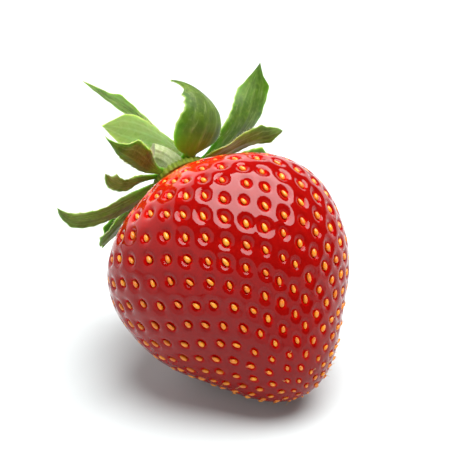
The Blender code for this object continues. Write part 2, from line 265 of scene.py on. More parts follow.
class Finish:
    """One material, or the world, while its nodes are being laid out."""

    def __init__(self, owner):
        owner.use_nodes = True
        self.owner = owner
        self.tree = owner.node_tree
        self.tree.nodes.clear()

    def node(self, kind, settings=None, inputs=None, output=0):
        """Any node: its settings first, then numbers or links for its sockets."""
        made = self.tree.nodes.new("ShaderNode" + kind)
        for key, value in (settings or {}).items():
            setattr(made, key, value)
        for key, value in (inputs or {}).items():
            if isinstance(value, Value):
                self.tree.links.new(value.socket, made.inputs[key])
            else:
                made.inputs[key].default_value = value
        return Value(self, made.outputs[output]) if made.outputs else None

    def attribute(self, name):
        """A number stored on the mesh's points."""
        return self.node("Attribute", {"attribute_name": name}, output=2)

    def noise(self, size, detail=2.0, roughness=0.5):
        """Even noise from 0 to 1, whose blotches are about size millimetres wide."""
        place = self.node("TexCoord", output=3)
        return self.node("TexNoise", None, {"Vector": place, "Scale": 1.0 / (size * METRES),
                                            "Detail": detail, "Roughness": roughness})

    def streaks(self, first, second, third):
        """Noise from 0 to 1 over three numbers, drawn out along the one that changes least."""
        place = self.node("CombineXYZ", None, {0: first, 1: second, 2: third})
        return self.node("TexNoise", None, {"Vector": place, "Scale": 1.0, "Detail": 4.0, "Roughness": 0.6})

    def blend(self, share, first, second):
        """A colour between two: a Mix node with a share from 0 to 1."""
        def full(colour):
            return colour if isinstance(colour, Value) else (*colour, 1.0)
        return self.node("Mix", {"data_type": "RGBA"}, {0: share, 6: full(first), 7: full(second)}, output=2)

    def paint(self, colour, *layers):
        """A colour with others laid over it in turn, each given as its share and colour."""
        for share, layer in layers:
            colour = self.blend(share, colour, layer)
        return colour

    def bump(self, height, depth):
        """A normal from a height of 0 to 1, with depth millimetres between them."""
        return self.node("Bump", None, {"Height": height, "Distance": depth * METRES, "Strength": 1.0})

    def skin(self, constants, links, depth=None):
        """The Principled shader: constants on its own sockets, links where the surface varies.

        depth is for light that goes in: its weight, its reach by colour, and a scale in mm.
        """
        if depth:
            weight, radius, scale = depth
            constants = {**constants, "Subsurface Weight": weight, "Subsurface Radius": radius,
                         "Subsurface Scale": scale * METRES}
        shader = self.node("BsdfPrincipled", None, {**constants, **links})
        self.node("OutputMaterial", None, {"Surface": shader})
        return self.owner


def new_finish(name):
    """An empty material to lay nodes in."""
    return Finish(bpy.data.materials.new(name))


# %% [markdown]
# ## Where the seeds sit
# Seeds follow two rules. Each one has a certain area of skin to itself, large on
# the shoulders and small at the tip, and each is turned from the last by the
# golden angle, which makes the crossing spiral rows of a flower head. The rule,
# its numbers and its random draw are the solid's, so the pits land on its pits.

# %% Places of the seeds
CELL_ANGLES = (0.0, 40.0, 75.0, 110.0, 140.0, 160.0, 172.0, 180.0)
CELL_AREAS = (17.0, 15.6, 13.2, 11.2, 9.2, 7.0, 4.4, 3.0)
FIRST_SEED = 17.0  # angle from the calyx where the seeds begin
GOLDEN_ANGLE = math.pi * (3.0 - math.sqrt(5.0))
SEED_JITTER = 0.08  # random shift, as a share of the spacing
SEED_SPREAD = 0.15  # random difference in size
SEED_RANDOM = 12  # the draw's own number
COUNT_POINTS = 2000
LEAST_SINE = 0.05  # limits the shift of a seed at the very tip
FULL_SPACING = 2.9  # distance to the nearest seed at which a seed has its full size


def seed_places():
    """Angles of the seeds, and the share of full size that each has.

    A seed's number over the whole skin grows by the ring's area over the area
    that one seed has there. A seed's distance to itself is put out of the way.
    """
    angle = np.linspace(math.radians(FIRST_SEED), math.pi, COUNT_POINTS)
    radius = profile(angle)
    slope = np.gradient(radius, angle)
    ring = math.tau * radius * np.sin(angle) * np.hypot(radius, slope)
    share = ring / np.interp(np.degrees(angle), CELL_ANGLES, CELL_AREAS)
    count = running_sum((share[1:] + share[:-1]) / 2.0 * np.diff(angle))
    number = np.arange(int(count[-1])) + 0.5
    seed_angle = np.interp(number, count, angle)
    seed_around = number * GOLDEN_ANGLE
    spacing = np.sqrt(np.interp(np.degrees(seed_angle), CELL_ANGLES, CELL_AREAS))
    draw = np.random.default_rng(SEED_RANDOM)
    shift = draw.uniform(-1.0, 1.0, (2, len(number))) * SEED_JITTER * spacing
    seed_radius = profile(seed_angle)
    seed_slope = np.interp(seed_angle, angle, slope)
    seed_angle = seed_angle + shift[0] / np.hypot(seed_radius, seed_slope)
    seed_around = seed_around + shift[1] / (seed_radius * np.maximum(np.sin(seed_angle), LEAST_SINE))
    place = local_directions(seed_angle, seed_around) @ AXES * profile(seed_angle)[:, None]
    apart = np.linalg.norm(place[:, None] - place[None], axis=-1) + np.eye(len(number)) * FULL_SPACING * 2
    size = np.minimum(apart.min(1) / FULL_SPACING, 1.0) * (1.0 - draw.uniform(0.0, SEED_SPREAD, len(number)))
    return seed_angle, seed_around, size


SEED_ANGLE, SEED_AROUND, SEED_SIZE = seed_places()
print("seeds:", len(SEED_SIZE))

# %% [markdown]
# ## The skin, with a pit for every seed
# The skin swells up between the seeds, so each seed lies in a small round well
# and the rest is a glossy net. The skin is a grid of latitude and longitude.
# The distance from each grid point to a seed is measured in that seed's own
# oval. A narrow well and a wide hollow are smooth steps of that distance. They
# are geometry and not bump, because their walls are what catches the light.

# %% The flesh
PIT_HALF = (1.08, 0.88)  # half length and half width of a full-size pit
PIT_ANGLES = (32.0, 62.0, 120.0, 175.0)  # depth of a full-size pit, at angles from the calyx
PIT_DEPTHS = (0.15, 0.75, 0.75, 0.25)
SEED_RIDGES = (0.06, -0.10, 0.04, 0.37)  # how far its seed's ridge stands out of the skin there
SKIN_ROWS = 198
SKIN_STEPS = 480
# A pit is a narrow well in a wide hollow. Each: share of the depth, and where its
# wall begins and ends as shares of the pit's oval.
WELL = (0.55, 0.48, 1.02)
HOLLOW = (0.42, 0.6, 1.95)
PIT_RIM = (0.78, 1.14)  # where the pit's own colour fades out, in ovals
SLOPE_ANGLE = 0.01  # half the angle over which a slope is measured
PIT_BLOCKS = 24  # parts of the grid worked out one by one, to save memory
NEAR_SIDE = 0.5  # a seed with a lower cosine to a point is round the back
FAR = 1e3  # and counts as this many ovals away
LENGTH_POINTS = 4001
SKIN_WAVE = 0.05  # unevenness of the skin
SKIN_WAVES = (9.0, 4.0, 7.0, 8.0)  # sideways, their bend and its own waves, and along the axis

SEED_DEPTH = np.interp(np.degrees(SEED_ANGLE), PIT_ANGLES, PIT_DEPTHS) * SEED_SIZE


def seed_frames():
    """For each seed: its direction, the direction down its meridian, and the one round the berry."""
    centre = local_directions(SEED_ANGLE, SEED_AROUND)
    down = np.stack((np.cos(SEED_ANGLE) * np.cos(SEED_AROUND), np.cos(SEED_ANGLE) * np.sin(SEED_AROUND),
                     -np.sin(SEED_ANGLE)), -1)
    return centre, down, np.cross(centre, down)


def pit_relief(ball):
    """Depth of the pits at unit vectors, and whether each lies in a pit: 1 inside, 0 outside.

    The distance to a seed is that of its oval: along and across the meridian,
    each over the pit's half size. A well and a hollow are smooth steps of it.
    """
    centre, down, round_ = seed_frames()
    radius = profile(SEED_ANGLE)
    slope = (profile(SEED_ANGLE + SLOPE_ANGLE) - profile(SEED_ANGLE - SLOPE_ANGLE)) / (2 * SLOPE_ANGLE)
    per_length = np.hypot(radius, slope) / (SEED_SIZE * PIT_HALF[0])
    per_width = radius / (SEED_SIZE * PIT_HALF[1])
    relief, inside = np.zeros(len(ball)), np.zeros(len(ball))
    for block in np.array_split(np.arange(len(ball)), PIT_BLOCKS):
        along = ball[block] @ down.T * per_length
        across = ball[block] @ round_.T * per_width
        oval = np.hypot(along, across) + np.where(ball[block] @ centre.T < NEAR_SIDE, FAR, 0.0)
        well = 1.0 - smooth_step(WELL[1], WELL[2], oval)
        hollow = 1.0 - smooth_step(HOLLOW[1], HOLLOW[2], oval)
        relief[block] = -((WELL[0] * well + HOLLOW[0] * hollow) * SEED_DEPTH).max(1)
        inside[block] = 1.0 - smooth_step(*PIT_RIM, oval.min(1))
    return relief, inside


def spot_fade(smooth):
    """0 on the pressed spot and 1 away from it, at points of the smooth skin."""
    away = np.hypot(smooth[:, 0], smooth[:, 1])
    return np.where(smooth[:, 2] < CENTRE[2], np.clip((away - SPOT_CLEAR) / SPOT_FADE, 0.0, 1.0), 1.0)


def skin_grid():
    """Rings of the skin at equal steps of its own length, with pits, pressed flat underneath."""
    fine = np.linspace(0.0, math.pi, LENGTH_POINTS)
    radius = profile(fine)
    length = running_sum(np.hypot(np.diff(radius), radius[1:] * np.diff(fine)))
    angle = np.interp(np.arange(1, SKIN_ROWS + 1) / (SKIN_ROWS + 1) * length[-1], length, fine)
    angle, around = np.meshgrid(angle, full_turn(SKIN_STEPS), indexing="ij")
    angle, around = with_poles(0.0, angle, math.pi), with_poles(0.0, around, 0.0)
    ball = local_directions(angle, around)
    smooth = CENTRE + ball @ AXES * skin_radius(angle, around)[:, None]
    relief, inside = pit_relief(ball)
    sideways, bend, bend_waves, lengthwise = SKIN_WAVES
    crest = sideways * ball[:, 0] + bend * np.sin(bend_waves * ball[:, 1])
    relief = relief + SKIN_WAVE * np.sin(crest) * np.sin(lengthwise * ball[:, 2])
    fade = spot_fade(smooth)
    points = smooth + ball @ AXES * (relief * fade)[:, None]
    points[:, 2] = np.maximum(points[:, 2], 0.0)
    return points, {"pit": inside * fade, "down": angle / math.pi}


skin_points, skin_values = skin_grid()
print("skin points:", len(skin_points), "lowest mm:", skin_points[:, 2].min().round(3))

# %% [markdown]
# ## The skin's finish
# Ripe flesh is a deep, slightly see-through red under a wet-looking skin. It is
# more orange by the calyx, where it ripens last, and brighter there with a painted
# glow. It darkens towards the tip with painted shade, and the pits carry a brighter,
# purer red, a painted glow against the shade of their walls. Subsurface light gives
# the depth. All the gloss is that of a clear coat, which is thinner in the pits and
# a little thinner towards the tip.

# %% Berry skin
# The shoulder's red is partly its own orange and partly painted glow of light through the flesh.
SHOULDER_GLOW_RED = (0.88, 0.012, 0.003)
RIPE_RED = (0.235, 0.0018, 0.0012)
# Painted shade: a darker red laid towards the tip and underside.
TIP_SHADE_RED = (0.15, 0.0016, 0.0010)
SPECKLE_RED = (0.32, 0.006, 0.003)
# Painted glow: the pits' red is brightened against the shade of their walls.
PIT_GLOW_RED = (0.46, 0.0020, 0.0007)
PIT_SHARE = 0.9  # how fully a pit takes its brighter red, a painted glow against the shade of its walls, and how much of the coat it lacks


def berry_skin():
    """Red by how far down the berry, with painted glow on the shoulder, painted shade towards the tip and
    painted glow in the pits, faint blotches and a clear coat.
    """
    finish = new_finish("berry_skin")
    down, pit = finish.attribute("down"), finish.attribute("pit")
    blotch = finish.noise(7.0, 3.0)
    speckle = finish.noise(0.9, 3.0)
    # Share of ripe red: 0 on the shoulder, whose painted glow fades out here, 1 below it.
    ripe_past_shoulder_glow = (down + (blotch - 0.5) * 0.16).step(0.14, 0.44)
    colour = finish.paint(finish.blend(ripe_past_shoulder_glow, SHOULDER_GLOW_RED, RIPE_RED),
                          # Painted shade, darker towards the tip and underside.
                          (down.step(0.62, 0.90) * 0.4, TIP_SHADE_RED),
                          (speckle.step(0.35, 0.75) * 0.25, SPECKLE_RED),
                          # Painted glow in the pits.
                          (pit * PIT_SHARE, PIT_GLOW_RED))
    coat = (1.0 - pit * PIT_SHARE) * (1.0 - down.step(0.50, 0.85) * 0.15)
    fine = finish.noise(0.6, 4.0, 0.6) * 0.35 + finish.noise(1.9, 2.0) * 0.65
    return finish.skin(
        {"IOR": 1.4, "Specular IOR Level": 0.0, "Coat Roughness": 0.035, "Coat IOR": 1.38},
        {"Base Color": colour, "Roughness": speckle * 0.10 + 0.34, "Coat Weight": coat,
         "Normal": finish.bump(fine, 0.07)},
        depth=(0.12, (1.0, 0.12, 0.06), 1.2))


add_piece("flesh", skin_points, ring_faces(SKIN_ROWS, SKIN_STEPS), skin_values,
          berry_skin(), ["berry"])

# %% [markdown]
# ## The seeds
# What we call a seed is a tiny dry fruit, an achene: a drop shape, blunt at one
# end, hard and golden. One drop of a few dozen faces is worked out once, then
# set into every pit by the seed's own three directions, each a little turned.

# %% Seeds
SEED_HALF = (0.74, 0.40, 0.38)  # half length, half width and half height of a full-size seed
SEED_RINGS = 5
SEED_STEPS = 8
SEED_TURN = 16.0  # most that a seed is turned from its meridian
SEED_FULLNESS = 0.85  # a power: below 1 the drop is fuller than an oval
SEED_TAPER = 0.16  # how much narrower it is towards the calyx
SEED_STOUTNESS = 0.10  # random difference
SEED_LOWEST = 0.02  # no seed reaches lower
SEED_LOOKS_RANDOM = 31


def seed_drop():
    """Rings of one drop along its length, from the end by the calyx to the other.

    A ring's width is the sine of its place along, and it is narrowed towards
    the calyx. Each ring is an oval.
    """
    place = np.arange(1, SEED_RINGS + 1) / (SEED_RINGS + 1) * math.pi
    width = np.sin(place) ** SEED_FULLNESS * (1.0 - SEED_TAPER * np.cos(place))
    step = full_turn(SEED_STEPS)
    along = np.repeat(-np.cos(place)[:, None], SEED_STEPS, 1)
    rings = np.stack((along, width[:, None] * np.cos(step), width[:, None] * np.sin(step)), -1)
    return closed_points((-1.0, 0.0, 0.0), rings, (1.0, 0.0, 0.0))


def build_seeds(material):
    """Every seed from the one drop: a matrix of its three directions times its own size."""
    draw = np.random.default_rng(SEED_LOOKS_RANDOM)
    count = len(SEED_SIZE)
    centre, down, round_ = (rows @ AXES for rows in seed_frames())
    turn = np.radians(draw.uniform(-SEED_TURN, SEED_TURN, count))[:, None]
    length = np.cos(turn) * down + np.sin(turn) * round_
    width = np.cos(turn) * round_ - np.sin(turn) * down
    frames = np.stack((length, width, centre), 1) * np.array(SEED_HALF)[:, None]
    stout = 1.0 + draw.uniform(-SEED_STOUTNESS, SEED_STOUTNESS, count)
    frames = frames * SEED_SIZE[:, None, None] * np.stack((1.0 / stout, stout, stout), 1)[..., None]
    smooth = CENTRE + centre * skin_radius(SEED_ANGLE, SEED_AROUND)[:, None]
    ridge = np.interp(np.degrees(SEED_ANGLE), PIT_ANGLES, SEED_RIDGES) * SEED_SIZE * spot_fade(smooth)
    middle = smooth + centre * (ridge - SEED_HALF[2] * SEED_SIZE)[:, None]
    drop = seed_drop()
    points = middle[:, None] + np.einsum("pk,nkx->npx", drop, frames)
    points = points.reshape(-1, 3)
    points[:, 2] = np.maximum(points[:, 2], SEED_LOWEST)
    faces = repeat_faces(ring_faces(SEED_RINGS, SEED_STEPS, clockwise=True), len(drop), count)
    values = {"tone": np.repeat(draw.uniform(0.0, 1.0, count), len(drop)),
              "end": np.tile(drop[:, 0] * 0.5 + 0.5, count)}
    add_piece("seeds", points, faces, values, material, [])


STRAW = (0.80, 0.29, 0.008)
ORANGE = (0.64, 0.15, 0.005)
SEED_BROWN = (0.34, 0.06, 0.006)
SEED_STREAK = (0.84, 0.40, 0.02)


def seed_gold():
    """Golden, from straw to orange by each seed's own tone, browner at the end by the calyx."""
    finish = new_finish("seed_gold")
    tone, end = finish.attribute("tone"), finish.attribute("end")
    streak = finish.noise(0.35, 2.0)
    colour = finish.paint(finish.blend(tone, STRAW, ORANGE),
                          ((1.0 - end.step(0.0, 0.4)) * 0.7, SEED_BROWN),
                          (streak.step(0.45, 0.75) * 0.35, SEED_STREAK))
    return finish.skin(
        {"IOR": 1.45, "Coat Roughness": 0.12},
        {"Base Color": colour, "Roughness": 0.30 + streak * 0.15, "Coat Weight": 0.35 - tone * 0.1},
        depth=(0.1, (1.0, 0.4, 0.1), 0.4))


build_seeds(seed_gold())

# %% [markdown]
# ## The calyx: a leaf blade as a closed form
# A sepal is a small toothed leaf. Its midrib is a curve that leaves the disc at
# one slope and ends at another. At every step along it there is a flat ring:
# out along the upper face and back along the lower one. The half widths are a
# leaf curve plus teeth, and the blade is cupped and waved a little.

# %% Sizes of the calyx
GAP = 0.3  # air between neighbouring solids
DISC_RADIUS = 5.2
DISC_THICKNESS = 1.7
SEPAL_START = DISC_RADIUS + GAP
BLADE = 0.7  # thickness of the solid blade, whose middle is the fine blade's middle
ROWS = 12  # the teeth stand on these steps along a sepal
KNOTS = (0.0, 1 / 3, 2 / 3, 1.0)  # shares of the length at which a sepal's angles are given
TOOTH_SHOULDER = 0.45  # share of a tooth's size on the row before it
TOOTH_BACK = 0.8  # rows over which it falls away

# Each sepal: azimuth of its foot round the calyx, length, half widths on its two sides,
# width and height of its foot, then at the knots its slope, its turn to the side and its
# twist, then cupping, fullness of outline, share of the length at which it is widest,
# teeth as (side, row, size), and how pale it is, from 0 for deep green to 1.
Sepal = namedtuple("Sepal", "name azimuth length halves foot rise slopes turns twists cup full widest"
                   " teeth pale")
SEPALS = [Sepal(*row) for row in (
    ("sepal_left_long", -7.0, 24.1, (1.8, 1.7), 1.8, 0.3, (-20, -13, -6, 8), (0, 6, 29, 69),
     (0, 20, 21, 16), 0.1, 0.6, 0.41, ((-1, 9, 0.3),), 0.35),
    ("sepal_left_tall", 226.0, 28.3, (0.9, 1.3), 1.4, 1.3, (81, 109, 136, 150), (0, -16, -26, -25),
     (0, 3, 8, 11), 0.15, 0.85, 0.7, ((-1, 9, 0.9),), 0.5),
    ("sepal_left_broad", 198.4, 20.9, (3.8, 3.8), 2.4, 1.4, (98, 121, 144, 174), (0, -19, -18, -13),
     (0, -9, 6, 22), 0.2, 0.92, 0.7, ((-1, 10, 0.4),), 0.85),
    ("sepal_top_broad", 99.4, 18.0, (4.4, 4.4), 3.0, 1.3, (2, 42, 101, 147), (0, 35, 53, 59),
     (0, -25, -35, -46), 0.3, 0.9, 0.3, ((-1, 7, 0.8), (-1, 9, 1.3)), 0.05),
    ("sepal_right_tall", 156.0, 21.1, (3.5, 3.5), 3.2, 1.4, (13, 23, 50, 39), (0, -3, -17, -35),
     (0, -10, -40, -70), 0.25, 0.9, 0.52, ((1, 10, 0.9), (-1, 9, 0.3)), 0.1),
    ("sepal_back_right", 182.0, 16.0, (3.0, 3.0), 2.0, 0.35, (4, 0, -6, -12), (0, 0, 0, 0),
     (0, 0, 0, 0), 0.25, 0.8, 0.5, ((-1, 8, 0.9), (1, 9, 0.9)), 0.2),
    ("sepal_back_low", 262.0, 16.0, (3.1, 3.1), 2.4, 1.3, (4, -5, -13, -22), (0, 0, 0, 0),
     (0, 0, 0, 0), 0.25, 0.8, 0.48, ((1, 8, 0.9), (-1, 9, 0.9)), 0.2),
    ("sepal_under", 302.0, 15.0, (3.0, 3.0), 2.4, 1.3, (10, 3, -5, -12), (0, 0, 0, 0),
     (0, 0, 0, 0), 0.25, 0.8, 0.48, ((-1, 8, 0.9), (1, 9, 0.8)), 0.2),
    ("bract_left", 9.0, 13.4, (1.4, 1.1), 1.1, 1.4, (-2, -16, -2, 11), (0, 3, 26, 54),
     (0, 18, 24, 25), 0.15, 0.57, 0.62, ((1, 9, 0.6),), 0.4),
    ("bract_front", 27.0, 17.8, (1.4, 3.0), 1.5, 1.3, (-1, -3, 0, 28), (0, 22, 14, 24),
     (0, 2, -4, -28), 0.2, 1.3, 0.48, ((1, 8, 0.9),), 0.15),
    ("bract_right", 142.0, 14.1, (2.5, 1.9), 3.6, 0.3, (-2, -3, -11, -5), (0, 4, 15, 20),
     (0, 5, -13, -52), 0.05, 0.45, 0.63, ((-1, 9, 0.6), (1, 10, 0.4)), 0.3),
    ("bract_low", 282.0, 12.0, (1.8, 1.8), 1.8, 0.3, (-8, -15, -21, -28), (0, 0, 0, 0),
     (0, 0, 0, 0), 0.2, 0.8, 0.44, ((-1, 9, 0.6),), 0.2),
    ("bract_hanging", -37.5, 15.0, (1.6, 1.6), 1.5, 0.3, (0, -1, -1, 12), (0, -15, -31, -42),
     (0, -7, -7, 16), 0.15, 0.4, 0.56, ((1, 10, 0.4),), 0.3),
)]

# %% A blade's rings
BLADE_ROWS = 73  # rings along a blade
BLADE_STRIPS = 25  # points across each of its faces
BLADE_FOOT = 1.2  # how far the blade's foot runs on into the disc
LEAF_THICKNESS = 0.34
EDGE_WAVE = 0.06  # small unevenness of the outline
EDGE_WAVES = 61.0  # radians of it along a blade
EDGE_SHIFTS = ((0.0,), (2.0,))  # and where it starts on each side
TIP_TAPER = 0.4  # how much the outline narrows at the very tip
RIPPLES = 11.0  # radians of the waves along an edge
RIPPLE = 0.28  # height of the waves along a blade's edges
VEINS = 4.0  # lengthwise veins on each half of a blade
VEIN_RELIEF = 0.035
RIB_RELIEF = 0.22  # depth of the channel over the midrib
RIB_WIDTH = 0.32
SINE_STEPS = 16  # steps of the search for the skin under the calyx


def calyx_point(out, around, height):
    """Points beside the calyx: distance from its axis, azimuth, height above the skin's pole."""
    out, around, height = np.broadcast_arrays(out, around, height)
    return (CALYX + (out * np.cos(around))[..., None] * AXES[0] + (out * np.sin(around))[..., None] * AXES[1]
            + height[..., None] * AXES[2])


def skin_height(out, around):
    """Height of the skin above its own pole: the angle is found by repeated sine steps."""
    angle = np.arcsin(np.clip(out / PROFILE[0], 0.0, 1.0))
    for _ in range(SINE_STEPS):
        angle = np.arcsin(np.clip(out / skin_radius(angle, around), 0.0, 1.0))
    return skin_radius(angle, around) * np.cos(angle) - profile(0.0)


def half_widths(place, sepal):
    """Half widths of a blade's two edges: a leaf curve plus its teeth.

    The leaf curve is a sine of the distance along, bent so that it peaks where
    the sepal is widest, over a foot that tapers away to the tip. A tooth rises
    over two of the solid's rows and falls away within the next one.
    """
    shape = np.sin(math.pi * place ** (math.log(0.5) / math.log(sepal.widest))) ** sepal.full
    spread = np.array(sepal.halves)[:, None] - 0.25 * sepal.foot
    sides = (0.5 * sepal.foot * (1.0 - place) + spread * shape) * (1.0 - TIP_TAPER * place ** 12)
    for side, row, size in sepal.teeth:
        knots = np.array((row - 2.0, row - 1.0, row, row + TOOTH_BACK)) / ROWS
        sides[0 if side < 0 else 1] += np.interp(place, knots, (0.0, TOOTH_SHOULDER * size, size, 0.0))
    return sides + EDGE_WAVE * np.sin(place * EDGE_WAVES + np.array(EDGE_SHIFTS)) * np.sin(math.pi * place)


def blade_frame(sepal, place):
    """Midrib points, and the along, side and face directions, at shares of the length.

    The midrib is the running sum of its direction, whose slope, turn and twist
    change evenly from knot to knot. Shares below zero lie inside the disc.
    """
    around = math.radians(sepal.azimuth)
    outward = math.cos(around) * AXES[0] + math.sin(around) * AXES[1]
    sideways = np.cross(AXES[2], outward)

    def direction(share):
        slope = np.radians(np.interp(share, KNOTS, sepal.slopes))[:, None]
        heading = np.radians(np.interp(share, KNOTS, sepal.turns))[:, None]
        level = np.cos(heading) * outward + np.sin(heading) * sideways
        return np.cos(slope) * level + np.sin(slope) * AXES[2], np.cross(AXES[2], level)

    middle, _ = direction((place[1:] + place[:-1]) / 2.0)
    height = skin_height(SEPAL_START, around) + GAP + sepal.rise + BLADE / 2
    first, _ = direction(np.zeros(1))
    foot = calyx_point(SEPAL_START, around, height) + first * place[0] * sepal.length
    steps = middle * np.diff(place)[:, None] * sepal.length
    midrib = foot + running_sum(steps)
    along, side = direction(place)
    face = np.cross(along, side)
    turn = np.radians(np.interp(place, KNOTS, sepal.twists))[:, None]
    side, face = np.cos(turn) * side + np.sin(turn) * face, np.cos(turn) * face - np.sin(turn) * side
    return midrib, along, side, face


def blade_rings(sepal, draw):
    """Points of a sepal, the values that its finish reads, and its two edges with their directions."""
    place = np.linspace(-BLADE_FOOT / sepal.length, 1.0, BLADE_ROWS)
    midrib, along, side, face = blade_frame(sepal, place)
    place = np.clip(place, 0.0, 1.0)
    edges = half_widths(place, sepal)
    across = np.sin(np.linspace(-math.pi / 2, math.pi / 2, BLADE_STRIPS))
    reach = np.where(across < 0.0, edges[0][:, None], edges[1][:, None]) * across
    open_ = np.sin(math.pi * place ** 0.8)[:, None]
    phase = draw.uniform(0.0, math.tau, 2)
    wave = np.sin(place[:, None] * RIPPLES + np.where(across < 0.0, phase[0], phase[1]))
    veins = np.cos(np.abs(across) * VEINS * math.pi) * (1.0 - across ** 8)
    lift = (sepal.cup * np.abs(reach) * np.abs(across) + RIPPLE * wave * across ** 4 * open_
            - RIB_RELIEF * np.exp(-(reach / RIB_WIDTH) ** 2) * (1.0 - 0.7 * place[:, None])
            + VEIN_RELIEF * veins * open_)
    sheet = midrib[:, None] + side[:, None] * reach[..., None] + face[:, None] * lift[..., None]
    thick = 0.5 * LEAF_THICKNESS * np.sqrt(1.0 - across ** 6) * (1.0 + 0.5 * (1.0 - place[:, None]) ** 3)
    rise = face[:, None] * thick[..., None]
    rings = np.concatenate((sheet + rise, (sheet - rise)[:, -2:0:-1]), 1)

    under = np.concatenate((np.zeros(BLADE_STRIPS), np.ones(BLADE_STRIPS - 2)))
    under[[0, BLADE_STRIPS - 1]] = 0.5
    columns = np.concatenate((across, across[-2:0:-1]))
    values = {"under": under, "across": columns, "along": place[:, None],
              "length": place[:, None] * sepal.length, "pale": sepal.pale}
    for key, value in values.items():
        grid = np.broadcast_to(value, rings.shape[:2])
        values[key] = with_poles(grid[0].mean(), grid, grid[-1].mean())
    rims = [(sheet[:, 0], -side, along), (sheet[:, -1], side, along)]
    return closed_points(midrib[0], rings, midrib[-1] + along[-1] * 0.1), values, rims


# %% Leaf green
DEEP_GREEN = (0.060, 0.106, 0.002)
PALE_GREEN = (0.560, 0.540, 0.280)
VEIN_GREEN = (0.250, 0.330, 0.060)
VEIN_PALE = (0.70, 0.72, 0.48)
FOOT_GREEN = (0.120, 0.320, 0.015)
BLOTCH_GREEN = (0.030, 0.062, 0.002)
GRAIN_GREEN = (0.19, 0.26, 0.030)
FIBRE_GREEN = (0.34, 0.40, 0.14)
RIM_GREEN = (0.44, 0.50, 0.20)


def leaf_green():
    """Green by each blade's own paleness, with lengthwise and side veins and a pale rim.

    A lengthwise vein is a crest of the cosine of the place across. A side vein is
    a crest of the cosine of the distance along less a share of that place.
    """
    finish = new_finish("leaf_green")
    under, across, along = (finish.attribute(key) for key in ("under", "across", "along"))
    length, pale = finish.attribute("length"), finish.attribute("pale")
    edge = across.size()
    grain = finish.noise(0.7, 3.0, 0.6)
    blotch = finish.noise(3.2, 2.0)
    fibre = finish.streaks(across * 7.0, length * 0.30, pale * 9.0)
    long_veins = ((edge * (VEINS * math.pi) + (fibre - 0.5) * 2.0).cosine() * 0.5 + 0.5) ** 5.0
    side_veins = (((length - edge * 2.2) * 4.4 + (blotch - 0.5) * 4.0).cosine() * 0.5 + 0.5) ** 6.0
    veins = long_veins * 0.75 + side_veins * 0.25
    pale = pale * (1.0 - under * 0.5)
    colour = finish.paint(
        finish.blend(pale + (blotch - 0.5) * 0.25 + (fibre - 0.5) * 0.35, DEEP_GREEN, PALE_GREEN),
        (blotch.step(0.42, 0.62) * (1.0 - pale) * 0.7, BLOTCH_GREEN),
        (grain.step(0.50, 0.75) * 0.35, GRAIN_GREEN),
        (fibre.step(0.55, 0.75) * 0.35, FIBRE_GREEN),
        (veins * (0.16 + pale * 0.3), finish.blend(pale, VEIN_GREEN, VEIN_PALE)),
        (edge.step(0.92, 1.0) * 0.6, RIM_GREEN),
        ((1.0 - along.step(0.02, 0.28)) * 0.8, FOOT_GREEN))
    return finish.skin(
        {"IOR": 1.4, "Specular IOR Level": 0.22, "Sheen Weight": 0.08, "Sheen Roughness": 0.4},
        {"Base Color": colour, "Roughness": 0.36 + grain * 0.2,
         "Normal": finish.bump(grain * 0.3 + fibre * 0.5 + veins * 0.4, 0.11)},
        depth=(0.85, (0.5, 1.0, 0.2), 1.3))


# %% The sepals
LEAF_RANDOM = 7
green = leaf_green()
leaf_draw = np.random.default_rng(LEAF_RANDOM)
blade_rims = []
for sepal in SEPALS:
    blade_points, blade_values, rims = blade_rings(sepal, leaf_draw)
    blade_rims += rims
    add_piece("leaf_" + sepal.name, blade_points, ring_faces(BLADE_ROWS, 2 * BLADE_STRIPS - 2), blade_values,
              green, [sepal.name])

# %% [markdown]
# ## The disc and the stem
# The sepals spring from a low fibrous disc on the berry's shoulder, and in its
# middle stands the stub of the stem. The disc is turned about the calyx, the
# stem about an arc that leans over, and both have fine ribs.

# %% The disc
DISC_OUTLINE = ((0.0, 0.0), (0.55, 0.0), (0.88, 0.0), (1.0, 0.1),
                (1.0, 0.7), (0.92, 1.0), (0.6, 1.0), (0.0, 1.0))
DISC_ROWS = 60
DISC_STEPS = 160
DISC_RIBS = 40
DISC_RIB_RELIEF = 0.10
RIB_WANDER = (2.0, 5.0)  # to the side, and how often
RIB_OUTWARD = (1.5, 5.0)  # distances between which ribs rise
RIB_UPWARD = (0.3, 1.2)  # and heights


def build_disc(material):
    """The disc's outline resampled by its length, turned about the calyx and ribbed by a cosine."""
    outline = np.array(DISC_OUTLINE) * (DISC_RADIUS, DISC_THICKNESS - GAP)
    length = running_sum(np.linalg.norm(np.diff(outline, axis=0), axis=1))
    place = np.arange(1, DISC_ROWS + 1) / (DISC_ROWS + 1) * length[-1]
    out = np.interp(place, length, outline[:, 0])[:, None]
    rise = np.interp(place, length, outline[:, 1])[:, None]
    around = full_turn(DISC_STEPS)
    wander = RIB_WANDER[0] * np.sin(RIB_WANDER[1] * around)
    ribs = DISC_RIB_RELIEF * np.cos(DISC_RIBS * around + wander) * smooth_step(*RIB_OUTWARD, out)
    height = GAP + rise + skin_height(out, around) + ribs * smooth_step(*RIB_UPWARD, rise)
    rings = calyx_point(out + ribs, around, height)
    first = calyx_point(0.0, 0.0, GAP)
    last = calyx_point(0.0, 0.0, DISC_THICKNESS)
    top = with_poles(0.0, np.repeat(rise[:, 0] / (DISC_THICKNESS - GAP), DISC_STEPS), 1.0)
    turn = with_poles(0.0, np.tile(around, DISC_ROWS), 0.0)
    add_piece("calyx_base", closed_points(first, rings, last),
              ring_faces(DISC_ROWS, DISC_STEPS, clockwise=True), {"top": top, "turn": turn},
              material, ["calyx_disc"])


DISC_DARK = (0.075, 0.120, 0.003)
DISC_LIGHT = (0.20, 0.27, 0.010)
DISC_PATCH = (0.26, 0.34, 0.03)
DISC_SEAM = (0.14, 0.12, 0.006)


